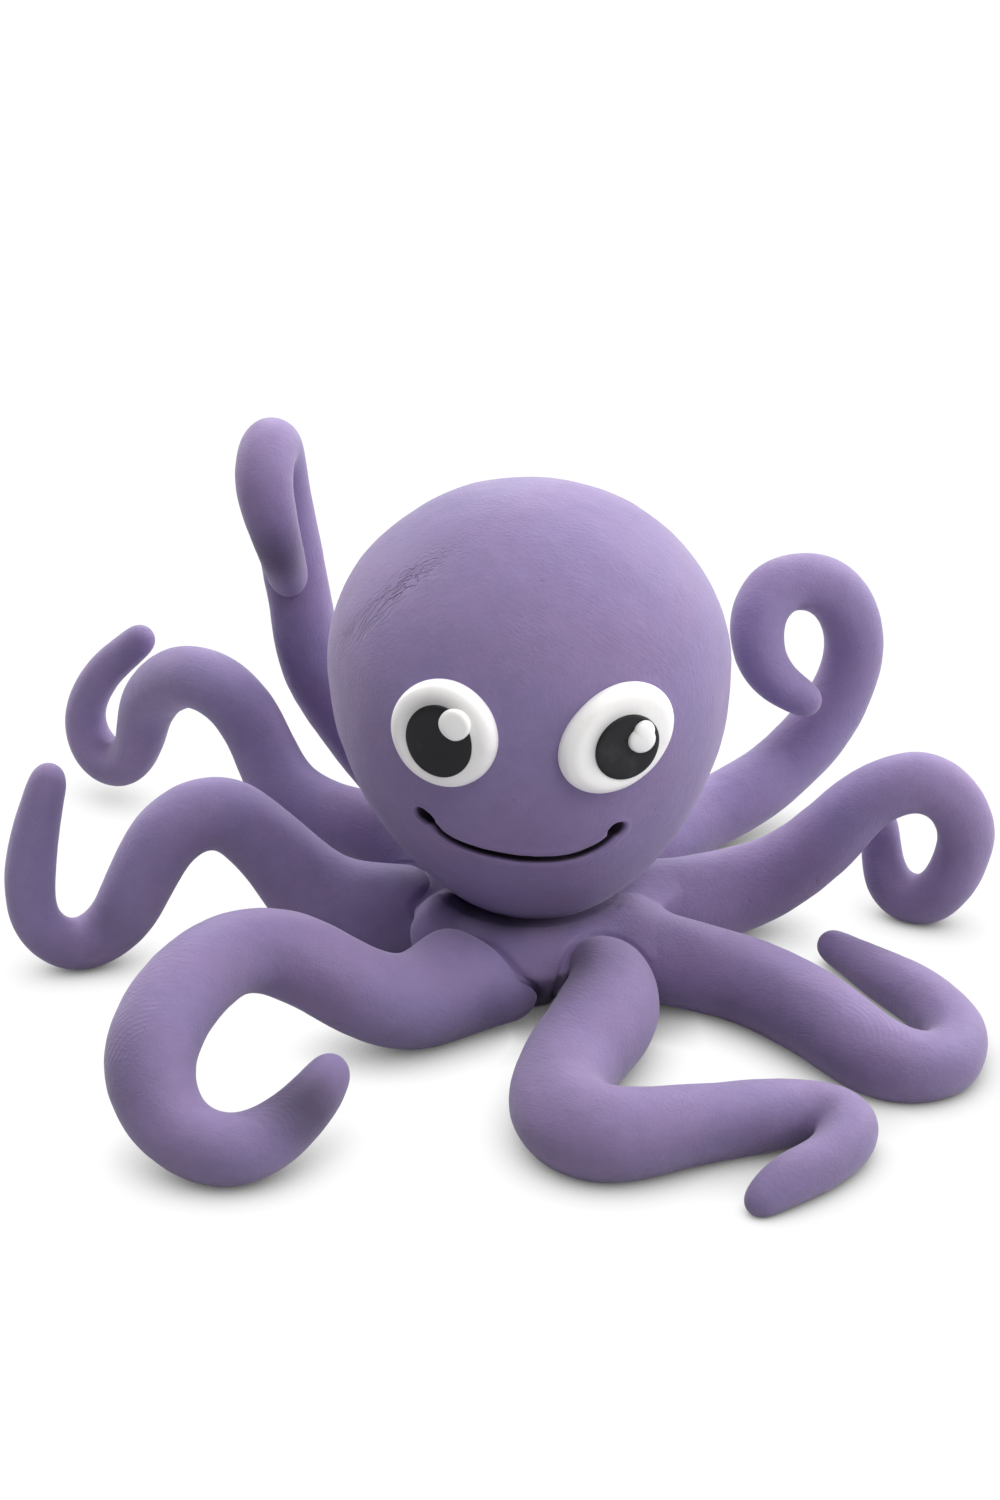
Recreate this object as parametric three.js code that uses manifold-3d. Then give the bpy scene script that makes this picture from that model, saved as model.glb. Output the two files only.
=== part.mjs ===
// Octopus figurine modelled by hand in polymer clay and baked on a flat tile.
// Millimetres, +Z up. The face looks along -Y, and the origin is on the tile below the head.
import * as THREE from 'three';
import { mergeVertices } from 'three/addons/utils/BufferGeometryUtils.js';
import Module from 'manifold-3d';

const wasm = await Module();
wasm.setup();

// Clearance between pieces that are pressed together
const SEAT = 0.3;

// Hub: the pad of clay that the arms are pressed to and the head sits in
const HUB_WIDTH = 23;
const HUB_RIM = 4.5; // height of the widest ring
const HUB_FOOT_INSET = 2; // from the rim in to the flat underside
const HUB_COLLAR_INSET = 2.5; // from the rim in to the upper edge
const HUB_FLOOR = 5.4; // clay left under the head
const HUB_LAP = 3.1; // how far the upper edge laps up round the head

// Waves of the hub's skirt between the arms: bearing and half width in degrees,
// then how far the skirt stands out and rises there, in hundredths of HUB_WIDTH.
const SKIRT_WAVES = [[205, 26, 2, 3.5], [264, 26, 1.5, -6], [318, 22, 2, -2], [82, 26, 3, 1]];

// Head: an egg with a round crown, drawn out to a blunt point below
const HEAD_WIDTH = 34.4;
const HEAD_RISE = 15.4; // widest ring to crown
const HEAD_DROP = 24; // widest ring to lower pole
const HEAD_POINT = 1.14; // 1 is an ellipse, more is more pointed

// Inside the head: a crumpled foil ball, and a wooden pick that pins the head to the hub
const FOIL_WIDTH = 18;
const FOIL_CREASES = 8; // creases in a turn
const FOIL_CREASE_DEPTH = 0.5;
const PICK_WIDTH = 2;
const PICK_FLOOR = 1.5; // clay left under its lower end
const PICK_BITE = 2.5; // how far it is pushed into the foil

// Smile: a groove cut with a needle, with a pit at each corner
// Each point is a bearing from the front in degrees,
// then how far it is below the widest ring, in hundredths of HEAD_DROP.
const SMILE = [[-34, 31.7], [-28, 40.4], [-17, 45.4], [2, 48.3], [16, 47.1], [23, 42.1], [28, 35.8]];
const SMILE_WIDTH = 0.7;
const SMILE_PIT = 1.6;

// Eyes: flattened balls pressed on one another, in hundredths of HEAD_WIDTH.
// Bearings are from the front in degrees, and heights are from the widest ring.
// Roll turns a ball's width up on the right, and shift moves its middle on the white, right and up.
const EYES = [
  {
    side: 'left',
    bearing: -24.6,
    height: 4.4,
    white: { width: 27.3, tall: 27.9, dome: 6.1, roll: 0, shift: [0, 0] },
    pupil: { width: 17.4, tall: 18.6, dome: 2.4, roll: 0, shift: [0, -0.6] },
    glints: [{ width: 8.7, tall: 8.7, dome: 2.7, roll: 0, shift: [5.2, 5.2] }],
  },
  {
    side: 'right',
    bearing: 24.2,
    height: 3.2,
    white: { width: 30.2, tall: 27.6, dome: 6.1, roll: 25, shift: [0, 0] },
    pupil: { width: 17.4, tall: 17.7, dome: 2.4, roll: 0, shift: [1.2, -1.5] },
    glints: [
      { width: 7.6, tall: 8.4, dome: 2.7, roll: 0, shift: [4.9, 1.7] },
      { width: 5.2, tall: 5.2, dome: 2.1, roll: 0, shift: [3.8, 5.8] },
    ],
  },
];

// Arms: each one is a rolled coil, thick at the hub and tapered to a round tip.
// A route row is across, away, lift of the underside above the tile, and girth, in hundredths of ARM_SPREAD.
const ARM_SPREAD = 88; // across all the arms
const ROOT_DEPTH = 3.5; // how far a coil's inner end is pressed into the hub
const TILE_PRESS = 0.4; // how far the soft clay settled on the tile
const BEND_LIMIT = 0.9; // share of the bend's own radius that the inside of a tight bend keeps
const ARMS = [
  {
    name: 'arm_front_centre',
    bearing: 298,
    route: [
      [6.8, -12, 0.7, 9.5], [7.3, -17.7, 0.3, 10.5], [4.5, -27, 0, 10.7], [2.7, -36.1, 0, 9.8],
      [8, -40, 0, 8.6], [15.7, -36.8, 0, 7.3], [21.6, -35.5, 0, 6.8], [25.9, -34.3, 0, 6.4],
      [30, -36.6, 0, 5.7], [26.7, -41.6, 0, 5.3], [23.8, -44.3, 0, 4.5], [20.2, -47.6, 0, 3],
    ],
  },
  {
    name: 'arm_front_left',
    bearing: 264,
    route: [
      [-2.7, -11.6, 0.3, 8.6], [-8.4, -13.5, 0.5, 9.5], [-13.6, -16.2, 0, 9.5], [-18, -16.4, 1.4, 9.3],
      [-22.2, -15.9, 4.5, 8.8], [-27.3, -17.7, 8, 8.1], [-33, -26.1, 8.5, 7.7], [-35.9, -34.8, 4.5, 8.6],
      [-34.1, -39.3, 1.4, 8], [-28.4, -41.8, 0, 6.9], [-23.9, -39.3, 1.1, 6.1], [-21, -35.5, 2.7, 5.2],
      [-18.8, -30.9, 5.5, 3.2],
    ],
  },
  {
    name: 'arm_right_front',
    bearing: 333,
    route: [
      [11.8, -6.4, 0.9, 9.1], [16.9, -8.9, 0, 8.5], [22.8, -12.8, 0, 8.3], [28.3, -19.3, 0, 8.9],
      [32.7, -24.4, 0, 8.8], [37.4, -26.4, 0, 7.2], [41.6, -21.6, 0, 6.4], [39.4, -12.7, 0, 5.7],
      [36, -7.2, 0, 4.9], [30.5, -0.2, 1, 3.2],
    ],
  },
  {
    name: 'arm_left',
    bearing: 174,
    route: [
      [-12.5, 1.8, 0.7, 9.3], [-18.3, 3, 1.2, 9.1], [-26.5, 3, 7.6, 7.6], [-31.7, 2.3, 13, 7.2],
      [-36.8, 1.4, 10.2, 6.8], [-39.2, 0.3, 5.5, 6.7], [-42.2, -0.8, 1.6, 6], [-46, -1.8, 0, 5.2],
      [-50.3, -1.9, 4.8, 4.9], [-50.2, -1.9, 9.2, 5], [-49.2, -1.6, 14.1, 4.7], [-48.1, -1.1, 20.2, 3.4],
    ],
  },
  {
    name: 'arm_right',
    bearing: 14,
    route: [
      [14.8, 4.8, 0.7, 8.9], [21.7, 7.4, 0.3, 8.8], [25.9, 6.8, 3.3, 8.2], [29.8, 5.6, 6.8, 7.5],
      [33.5, 4.9, 11.8, 6.9], [39.2, 5.2, 15.2, 6.2], [44.3, 5.9, 9, 5.6], [39.7, 7.5, 0.7, 4.7],
      [36.2, 10.1, 4.5, 4], [37, 12, 8.2, 3.2],
    ],
  },
  {
    name: 'arm_far_left',
    bearing: 143,
    route: [
      [-12, 9.5, 3.9, 7.5], [-16.5, 13.4, 4.8, 7.4], [-20.7, 16.4, 5.2, 7.3], [-25, 18.5, 7.3, 7.3],
      [-27.8, 20.5, 11.2, 6.8], [-30.1, 22.3, 14.9, 6.8], [-35.2, 26.1, 16.6, 6.4], [-40.7, 31.1, 11.4, 6],
      [-42, 34.3, 5, 5.5], [-44.9, 36.8, 1.2, 5.1], [-48.3, 38, 6.9, 4.4], [-46.6, 37.3, 11.6, 4.1],
      [-41.4, 35.5, 18.4, 2.7],
    ],
  },
  {
    name: 'arm_right_back',
    bearing: 54,
    wire: 'wire_right_back',
    route: [
      [11.4, 14.3, 1.1, 7.7], [18.5, 23.9, 0.5, 7.6], [22.7, 26.7, 1.5, 7.3], [27, 29.8, 3.3, 7],
      [29.9, 30.8, 5.9, 6.8], [33.6, 31.7, 12.2, 6.6], [34.8, 31.7, 17.7, 6.1], [32.7, 31.1, 23.6, 6.1],
      [28.5, 29.4, 26.7, 6], [23.6, 26.8, 23.3, 5.5], [24.9, 25.3, 18.6, 4.9], [29.9, 24.8, 15.8, 3.2],
    ],
  },
  {
    name: 'arm_back_left',
    bearing: 110,
    wire: 'wire_back_left',
    route: [
      [-6.8, 15.9, 1.1, 7.7], [-15.7, 23.4, 6.4, 7.4], [-20.9, 27.5, 13.6, 7.2], [-23.9, 28.2, 19.8, 6.8],
      [-23.9, 28.2, 24.3, 6.9], [-24.8, 28.4, 28.9, 6.5], [-25.8, 28.4, 35.9, 6.2], [-26.1, 27.3, 41.8, 5.9],
      [-26.5, 24.5, 44.3, 5.6], [-26.8, 20.9, 42, 6.1], [-26, 20.7, 36.1, 5.7], [-24.1, 21.6, 31.7, 3.4],
    ],
  },
];

// Armature: a wire inside each arm that stands clear of the tile
const WIRE_WIDTH = 1.2;
const WIRE_REACH = 0.62; // share of the arm's length that the wire runs up

// Facets
const ARM_SIDES = 10;
const ARM_STEPS = 40;
const THIN_SIDES = 6;
const THIN_STEPS = 20;
const TIP_STEPS = 3;
const ROUND_SIDES = 32;
const HUB_SIDES = 40;
const PROFILE_STEPS = 20;
const BALL_SIDES = 18;
const DAB_SIDES = 12;
const CURVE_STEPS = 4;
const FOIL_STEPS = 2;

const HEAD_Z = HUB_FLOOR + SEAT + HEAD_DROP;

// Colours of the baked clay and of what it hides
const clay = { color: 0x7e6b9c, roughness: 0.62, metalness: 0 };
const whiteClay = { color: 0xeeedec, roughness: 0.4, metalness: 0 };
const blackClay = { color: 0x35383d, roughness: 0.5, metalness: 0 };
const foil = { color: 0xb9bcc0, roughness: 0.35, metalness: 1 };
const wood = { color: 0xc8a878, roughness: 0.7, metalness: 0 };
const steel = { color: 0x9a9ca0, roughness: 0.3, metalness: 1 };

// Turns a closed geometry into a solid, with its faces wound outwards.
function toSolid(geometry) {
  geometry.deleteAttribute('normal');
  geometry.deleteAttribute('uv');
  const merged = mergeVertices(geometry);
  const corners = merged.index.array;
  const position = merged.attributes.position;
  const triangles = [];
  const [a, b, c] = [new THREE.Vector3(), new THREE.Vector3(), new THREE.Vector3()];
  let volume = 0;
  for (let i = 0; i < corners.length; i += 3) {
    const [p, q, r] = [corners[i], corners[i + 1], corners[i + 2]];
    if (p !== q && q !== r && r !== p) {
      triangles.push([p, q, r]);
      a.fromBufferAttribute(position, p);
      b.fromBufferAttribute(position, q);
      c.fromBufferAttribute(position, r);
      volume += a.dot(b.cross(c));
    }
  }
  const wound = volume < 0 ? triangles.map(([p, q, r]) => [p, r, q]) : triangles;
  const vertProperties = new Float32Array(position.array);
  const triVerts = new Uint32Array(wound.flat());
  return new wasm.Manifold(new wasm.Mesh({ numProp: 3, vertProperties, triVerts }));
}

function toMesh(name, solid, finish) {
  const { vertProperties, triVerts } = solid.getMesh();
  const geometry = new THREE.BufferGeometry();
  geometry.setAttribute('position', new THREE.BufferAttribute(vertProperties, 3));
  geometry.setIndex(new THREE.BufferAttribute(triVerts, 1));
  geometry.computeVertexNormals();
  const mesh = new THREE.Mesh(geometry, new THREE.MeshStandardMaterial(finish));
  mesh.name = name;
  return mesh;
}

// Turns a profile of radius and height about the Z axis.
function turned(profile) {
  return toSolid(new THREE.LatheGeometry(profile, ROUND_SIDES).rotateX(Math.PI / 2));
}

// Sweeps a circle along a curve: width(u) at each share u of its length, flat at the start, round at the end.
function coil(curve, width, sides, steps) {
  const frames = curve.computeFrenetFrames(steps);
  const spacing = curve.getLength() / steps;
  const rings = [];
  const ring = (centre, radius, normal, binormal, bend) => {
    const points = [];
    for (let k = 0; k < sides; k += 1) {
      const angle = (2 * Math.PI * k) / sides;
      const spoke = normal.clone().multiplyScalar(radius * Math.cos(angle));
      spoke.addScaledVector(binormal, radius * Math.sin(angle));
      const inward = spoke.dot(bend);
      if (inward > BEND_LIMIT) {
        spoke.addScaledVector(bend, (BEND_LIMIT - inward) / bend.lengthSq());
      }
      points.push(spoke.add(centre));
    }
    rings.push(points);
  };
  const straight = new THREE.Vector3();
  for (let i = 0; i <= steps; i += 1) {
    const before = frames.tangents[Math.max(i - 1, 0)];
    const after = frames.tangents[Math.min(i + 1, steps)];
    const bend = after.clone().sub(before).divideScalar(2 * spacing);
    const centre = curve.getPointAt(i / steps);
    ring(centre, width(i / steps) / 2, frames.normals[i], frames.binormals[i], bend);
  }
  const end = curve.getPointAt(1);
  const tangent = frames.tangents[steps];
  const tip = width(1) / 2;
  for (let j = 1; j < TIP_STEPS; j += 1) {
    const angle = (Math.PI / 2) * (j / TIP_STEPS);
    const centre = end.clone().addScaledVector(tangent, tip * Math.sin(angle));
    ring(centre, tip * Math.cos(angle), frames.normals[steps], frames.binormals[steps], straight);
  }
  const apex = end.clone().addScaledVector(tangent, tip);
  const vertices = [...rings.flat(), curve.getPointAt(0), apex];
  const first = vertices.length - 2;
  const last = vertices.length - 1;
  const index = [];
  for (let k = 0; k < sides; k += 1) {
    const next = (k + 1) % sides;
    index.push(first, next, k);
    for (let i = 0; i < rings.length - 1; i += 1) {
      const [low, high] = [i * sides, (i + 1) * sides];
      index.push(low + k, low + next, high + next, low + k, high + next, high + k);
    }
    const rim = (rings.length - 1) * sides;
    index.push(rim + k, rim + next, last);
  }
  const geometry = new THREE.BufferGeometry().setFromPoints(vertices);
  geometry.setIndex(index);
  return toSolid(geometry);
}

// Head profile from the lower pole to the crown, about its widest ring, grown all round.
function headSolid(grow) {
  const profile = [];
  for (let i = 0; i <= PROFILE_STEPS; i += 1) {
    const turn = (Math.PI * i) / PROFILE_STEPS;
    const level = -Math.cos(turn);
    const round = i % PROFILE_STEPS === 0 ? 0 : Math.sin(turn);
    const radius = (HEAD_WIDTH / 2 + grow) * (level < 0 ? round ** HEAD_POINT : round);
    profile.push(new THREE.Vector2(radius, level * ((level < 0 ? HEAD_DROP : HEAD_RISE) + grow)));
  }
  return turned(profile);
}

// Point of the head's surface at a bearing from the front and a height from the widest ring.
function headPoint(bearing, height) {
  const share = height / (height < 0 ? HEAD_DROP : HEAD_RISE);
  const round = Math.sqrt(1 - share * share);
  const radius = (HEAD_WIDTH / 2) * (height < 0 ? round ** HEAD_POINT : round);
  const angle = THREE.MathUtils.degToRad(bearing);
  return new THREE.Vector3(radius * Math.sin(angle), -radius * Math.cos(angle), height);
}

// Foil pressed into a ball: a sphere whose skin rises and falls in creases.
function foilSolid(grow) {
  const ball = new THREE.IcosahedronGeometry(1, FOIL_STEPS);
  const position = ball.attributes.position;
  const point = new THREE.Vector3();
  for (let i = 0; i < position.count; i += 1) {
    point.fromBufferAttribute(position, i).normalize();
    const along = Math.sin(FOIL_CREASES * (point.x + point.y / 2));
    const across = Math.sin(FOIL_CREASES * (point.y - point.z / 2));
    point.multiplyScalar(FOIL_WIDTH / 2 + grow - FOIL_CREASE_DEPTH * (1 - along * across) / 2);
    position.setXYZ(i, point.x, point.y, point.z);
  }
  return toSolid(ball);
}

// Pick from the hub's floor up into the foil.
function pickSolid(grow) {
  const radius = PICK_WIDTH / 2 + grow;
  const foot = PICK_FLOOR - grow;
  const top = HEAD_Z - FOIL_WIDTH / 2 + PICK_BITE + grow;
  const pick = new THREE.CylinderGeometry(radius, radius, top - foot, ARM_SIDES);
  pick.rotateX(Math.PI / 2);
  pick.translate(0, 0, (foot + top) / 2);
  return toSolid(pick);
}

// Sum of the skirt's waves at a bearing in degrees: how far it stands out and rises, in millimetres.
function skirtWave(bearing) {
  let [out, rise] = [0, 0];
  for (const [middle, half, outShare, riseShare] of SKIRT_WAVES) {
    const off = Math.abs(((bearing - middle + 540) % 360) - 180);
    const swell = off < half ? (1 + Math.cos((Math.PI * off) / half)) / 2 : 0;
    out += (swell * outShare * HUB_WIDTH) / 100;
    rise += (swell * riseShare * HUB_WIDTH) / 100;
  }
  return { out, rise };
}

// Hub profile: flat foot, swollen rim, and a collar that the head's seat is then pressed into.
// It is turned, and the skirt's waves then move each point out from the axis and up from the rim.
function hubSolid(grow) {
  const rim = HUB_WIDTH / 2 + grow;
  const top = HUB_FLOOR + HUB_LAP + grow;
  const outline = new THREE.Path();
  outline.moveTo(0, -grow);
  outline.lineTo(rim - HUB_FOOT_INSET, -grow);
  outline.quadraticCurveTo(rim, -grow, rim, HUB_RIM);
  outline.quadraticCurveTo(rim, top, rim - HUB_COLLAR_INSET, top);
  outline.lineTo(0, top);
  const hub = new THREE.LatheGeometry(outline.getPoints(CURVE_STEPS), HUB_SIDES).rotateX(Math.PI / 2);
  const position = hub.attributes.position;
  const point = new THREE.Vector3();
  for (let i = 0; i < position.count; i += 1) {
    point.fromBufferAttribute(position, i);
    const radius = Math.hypot(point.x, point.y);
    const { out, rise } = skirtWave(THREE.MathUtils.radToDeg(Math.atan2(point.y, point.x)));
    const share = radius / rim;
    const lift = Math.max(0, (point.z - HUB_RIM) / (top - HUB_RIM));
    const spread = 1 + (out * share) / rim;
    position.setXYZ(i, point.x * spread, point.y * spread, point.z + rise * lift * share);
  }
  return toSolid(hub);
}

// A ball's share of the head's width, in millimetres.
function inMillimetres(ball) {
  const unit = HEAD_WIDTH / 100;
  const { roll } = ball;
  const [width, tall, dome] = [ball.width * unit, ball.tall * unit, ball.dome * unit];
  return { width, tall, dome, roll, shift: ball.shift.map((share) => share * unit) };
}

// Ball flattened against a surface: across, up and out are its axes there.
function pressedBall(ball, seat, grow, sides = BALL_SIDES) {
  const { point, out } = seat;
  const up = new THREE.Vector3(0, 0, 1);
  const across = up.clone().cross(out);
  const centre = point.clone().addScaledVector(across, ball.shift[0]).addScaledVector(up, ball.shift[1]);
  const shape = new THREE.SphereGeometry(1, sides, sides / 2);
  shape.rotateX(Math.PI / 2);
  shape.scale(ball.width / 2 + grow, ball.tall / 2 + grow, ball.dome + grow);
  shape.rotateZ(THREE.MathUtils.degToRad(ball.roll));
  shape.applyMatrix4(new THREE.Matrix4().makeBasis(across, up, out).setPosition(centre));
  return toSolid(shape);
}

// How far a ball's dome stands out from its own middle plane at a shift from its middle.
function domeAt(ball, shift) {
  const [x, y] = [shift[0] / (ball.width / 2), shift[1] / (ball.tall / 2)];
  return ball.dome * Math.sqrt(Math.max(0, 1 - x * x - y * y));
}

function armCurve(arm) {
  const ringRadius = HUB_WIDTH / 2 - ROOT_DEPTH;
  const angle = THREE.MathUtils.degToRad(arm.bearing);
  const route = arm.route.map((row) => row.map((share) => (share * ARM_SPREAD) / 100));
  const [, , rootLift, rootGirth] = route[0];
  const root = [ringRadius * Math.cos(angle), ringRadius * Math.sin(angle), rootLift, rootGirth];
  const rows = [root, ...route];
  const points = rows.map(([x, y, lift, girth]) => new THREE.Vector3(x, y, lift + girth / 2 - TILE_PRESS));
  const curve = new THREE.CatmullRomCurve3(points);
  const taper = new THREE.SplineCurve(rows.map((row, i) => new THREE.Vector2(i, row[3])));
  const width = (u) => taper.getPoint(curve.getUtoTmapping(u)).y;
  return { curve, width };
}

// The wire's centreline: the arm's own, from inside the hub to its reach, lengthened at both ends.
function wireSolid(curve, grow) {
  const margin = SEAT / curve.getLength();
  const points = [];
  for (let i = 0; i <= THIN_STEPS; i += 1) {
    const ends = grow > 0 ? [0, WIRE_REACH + 2 * margin] : [margin, WIRE_REACH];
    points.push(curve.getPointAt(THREE.MathUtils.lerp(ends[0], ends[1], i / THIN_STEPS)));
  }
  const path = new THREE.CatmullRomCurve3(points);
  return coil(path, () => WIRE_WIDTH + 2 * grow, THIN_SIDES, THIN_STEPS);
}

const octopus = new THREE.Group();

// Hub, with the seat of the head and the hole for the pick
const headRound = headSolid(SEAT);
const headSeat = headRound.translate(0, 0, HEAD_Z);
const pickHole = pickSolid(SEAT);
let hub = hubSolid(0).subtract(headSeat).subtract(pickHole);
octopus.add(toMesh('neck_pick', pickSolid(0), wood));

// Arms: each is cut by the hub, the head, the tile and the arms laid before it
const tileBox = new THREE.BoxGeometry(2 * ARM_SPREAD, 2 * ARM_SPREAD, ARM_SPREAD);
const tile = toSolid(tileBox.translate(0, 0, -ARM_SPREAD / 2));
const laid = [hubSolid(SEAT), headSeat, tile];
for (const arm of ARMS) {
  const { curve, width } = armCurve(arm);
  let solid = coil(curve, width, ARM_SIDES, ARM_STEPS);
  for (const earlier of laid) {
    solid = solid.subtract(earlier);
  }
  if (arm.wire) {
    const bore = wireSolid(curve, SEAT);
    solid = solid.subtract(bore);
    hub = hub.subtract(bore);
    octopus.add(toMesh(arm.wire, wireSolid(curve, 0), steel));
  }
  octopus.add(toMesh(arm.name, solid, clay));
  laid.push(coil(curve, (u) => width(u) + 2 * SEAT, ARM_SIDES, ARM_STEPS));
}
octopus.add(toMesh('hub', hub, clay));

// Head, in a group whose origin is the middle of its widest ring
const headGroup = new THREE.Group();
headGroup.position.z = HEAD_Z;
octopus.add(headGroup);
const smilePoints = SMILE.map(([bearing, below]) => headPoint(bearing, (-below * HEAD_DROP) / 100));
const smile = new THREE.CatmullRomCurve3(smilePoints);
const pickInHead = pickHole.translate(0, 0, -HEAD_Z);
let head = headSolid(0).subtract(foilSolid(SEAT)).subtract(pickInHead);
head = head.subtract(coil(smile, () => SMILE_WIDTH, THIN_SIDES, THIN_STEPS));
for (const corner of [smilePoints[0], smilePoints[smilePoints.length - 1]]) {
  const pit = new THREE.SphereGeometry(SMILE_PIT / 2, DAB_SIDES, DAB_SIDES / 2);
  head = head.subtract(toSolid(pit.translate(corner.x, corner.y, corner.z)));
}
headGroup.add(toMesh('head', head, clay));
headGroup.add(toMesh('foil_core', foilSolid(0).subtract(pickInHead), foil));

// Eyes: the white on the head, the pupil on the white, the glint on both
for (const eye of EYES) {
  const angle = THREE.MathUtils.degToRad(eye.bearing);
  const out = new THREE.Vector3(Math.sin(angle), -Math.cos(angle), 0);
  const seat = { point: headPoint(eye.bearing, (eye.height * HEAD_WIDTH) / 100), out };
  const whiteBall = inMillimetres(eye.white);
  const white = pressedBall(whiteBall, seat, 0).subtract(headRound);
  const whiteRound = pressedBall(whiteBall, seat, SEAT);
  headGroup.add(toMesh(`eye_white_${eye.side}`, white, whiteClay));

  const pupilBall = inMillimetres(eye.pupil);
  const whiteDome = domeAt(whiteBall, pupilBall.shift);
  const pupilSeat = { point: seat.point.clone().addScaledVector(out, whiteDome), out };
  const pupil = pressedBall(pupilBall, pupilSeat, 0).subtract(whiteRound);
  const pupilRound = pressedBall(pupilBall, pupilSeat, SEAT);
  headGroup.add(toMesh(`pupil_${eye.side}`, pupil, blackClay));

  let glint = null;
  for (const dab of eye.glints.map(inMillimetres)) {
    const offPupil = [dab.shift[0] - pupilBall.shift[0], dab.shift[1] - pupilBall.shift[1]];
    const height = domeAt(pupilBall, offPupil);
    const dabSeat = { point: pupilSeat.point.clone().addScaledVector(out, height), out };
    const ball = pressedBall(dab, dabSeat, 0, DAB_SIDES);
    glint = glint ? glint.add(ball) : ball;
  }
  glint = glint.subtract(pupilRound).subtract(whiteRound);
  headGroup.add(toMesh(`glint_${eye.side}`, glint, whiteClay));
}

export default octopus;
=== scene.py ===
import bpy
import numpy as np
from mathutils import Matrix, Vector


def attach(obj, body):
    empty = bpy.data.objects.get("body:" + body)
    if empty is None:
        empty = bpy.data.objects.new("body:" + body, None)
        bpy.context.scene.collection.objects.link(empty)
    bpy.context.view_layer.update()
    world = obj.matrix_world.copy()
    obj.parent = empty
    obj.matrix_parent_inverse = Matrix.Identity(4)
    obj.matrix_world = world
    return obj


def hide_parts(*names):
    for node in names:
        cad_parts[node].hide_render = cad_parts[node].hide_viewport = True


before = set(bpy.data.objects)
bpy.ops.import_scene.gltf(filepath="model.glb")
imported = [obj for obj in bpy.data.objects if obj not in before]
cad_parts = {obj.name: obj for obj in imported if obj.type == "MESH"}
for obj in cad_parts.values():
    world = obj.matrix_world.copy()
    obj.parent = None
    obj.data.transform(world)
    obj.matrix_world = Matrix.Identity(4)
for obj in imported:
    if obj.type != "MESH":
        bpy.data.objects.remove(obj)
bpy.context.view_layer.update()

# Clay octopus: every surface is worked out in millimetres and put into its mesh in metres.
scene = bpy.context.scene
mm = 0.001

# Camera at the photograph's angle, its place in millimetres
camera = {"place": (-2.643, -325.587, 187.009), "pitch": 63.0, "lens": 100.46, "sensor": 36.0, "clip": 0.01}
lens = bpy.data.cameras.new("camera")
lens.lens = camera["lens"]
lens.sensor_width = camera["sensor"]
lens.clip_start = camera["clip"]
viewer = bpy.data.objects.new("camera", lens)
viewer.location = Vector(camera["place"]) * mm
viewer.rotation_euler = (np.radians(camera["pitch"]), 0, 0)
scene.collection.objects.link(viewer)
scene.camera = viewer
print("camera set")


lattice = np.random.default_rng(7).uniform(-1, 1, (32, 32, 32))  # random numbers on the corners of cubic cells


# Value noise: the numbers on the corners of a point's cell, blended with smooth weights. The lattice repeats.
def clayNoise(points, cell, shift):
    place = points / cell + shift
    low = np.floor(place).astype(int)
    part = place - low
    part = part * part * (3 - 2 * part)
    total = np.zeros(points.shape[:-1])
    for corner in np.ndindex(2, 2, 2):
        step = np.array(corner)
        weight = np.prod(np.where(step, part, 1 - part), axis=-1)
        index = (low + step) % len(lattice)
        total += weight * lattice[index[..., 0], index[..., 1], index[..., 2]]
    return total


# Noises added up. Each layer is a height, a cell and a shift.
def layered(points, layers):
    return sum(height * clayNoise(points, cell, shift) for height, cell, shift in layers)


# Eases from 0 at low to 1 at high with level ends: three squares of the share less two cubes.
def eased(value, low, high):
    share = np.clip((value - low) / (high - low), 0, 1)
    return share * share * (3 - 2 * share)


# Bell curve: the exponential of minus the square of the way from its middle, counted in widths.
def bell(value, middle, width):
    return np.exp(-((value - middle) / width) ** 2)


# Even steps from each edge to the next, a count of them to a span. A closed row ends on its last edge.
def spans(edges, counts, isClosed):
    last = len(counts) - 1
    return np.concatenate([np.linspace(edges[k], edges[k + 1], count, endpoint=isClosed and k == last)
                           for k, count in enumerate(counts)])


# Vectors divided by their lengths.
def unit(vectors):
    return vectors / np.linalg.norm(vectors, axis=-1, keepdims=True)


# Length of the way from each point to a place.
def wayTo(points, place):
    return np.linalg.norm(points - np.array(place), axis=-1)


# Smooth minimum of two distances: minus the log of the sum of their exponentials, over a blend width.
def blended(first, second, width):
    return -width * np.logaddexp(-first / width, -second / width)


# Distance from each point to a row of balls: the least of the distances to their skins.
def ballsDistance(points, centres, radii):
    distance = np.full(points.shape[:-1], 1e9)
    for centre, radius in zip(centres, np.broadcast_to(radii, len(centres))):
        np.minimum(distance, wayTo(points, centre) - radius, out=distance)
    return distance


# Presses a grid flat on the tile: a smooth maximum of each height and 0, by the root of its square.
def pressFlat(grid, softness):
    grid[..., 2] = (grid[..., 2] + np.sqrt(grid[..., 2] ** 2 + softness)) / 2


# Normals of a grid that is closed along its columns: the cross product of its two central differences.
def gridNormals(grid):
    along = np.gradient(grid, axis=0)
    around = np.roll(grid, -1, axis=1) - np.roll(grid, 1, axis=1)
    normals = unit(np.cross(around, along))
    outward = grid - grid.mean(axis=1, keepdims=True)
    return normals if np.sum(normals * outward) > 0 else -normals


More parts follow.
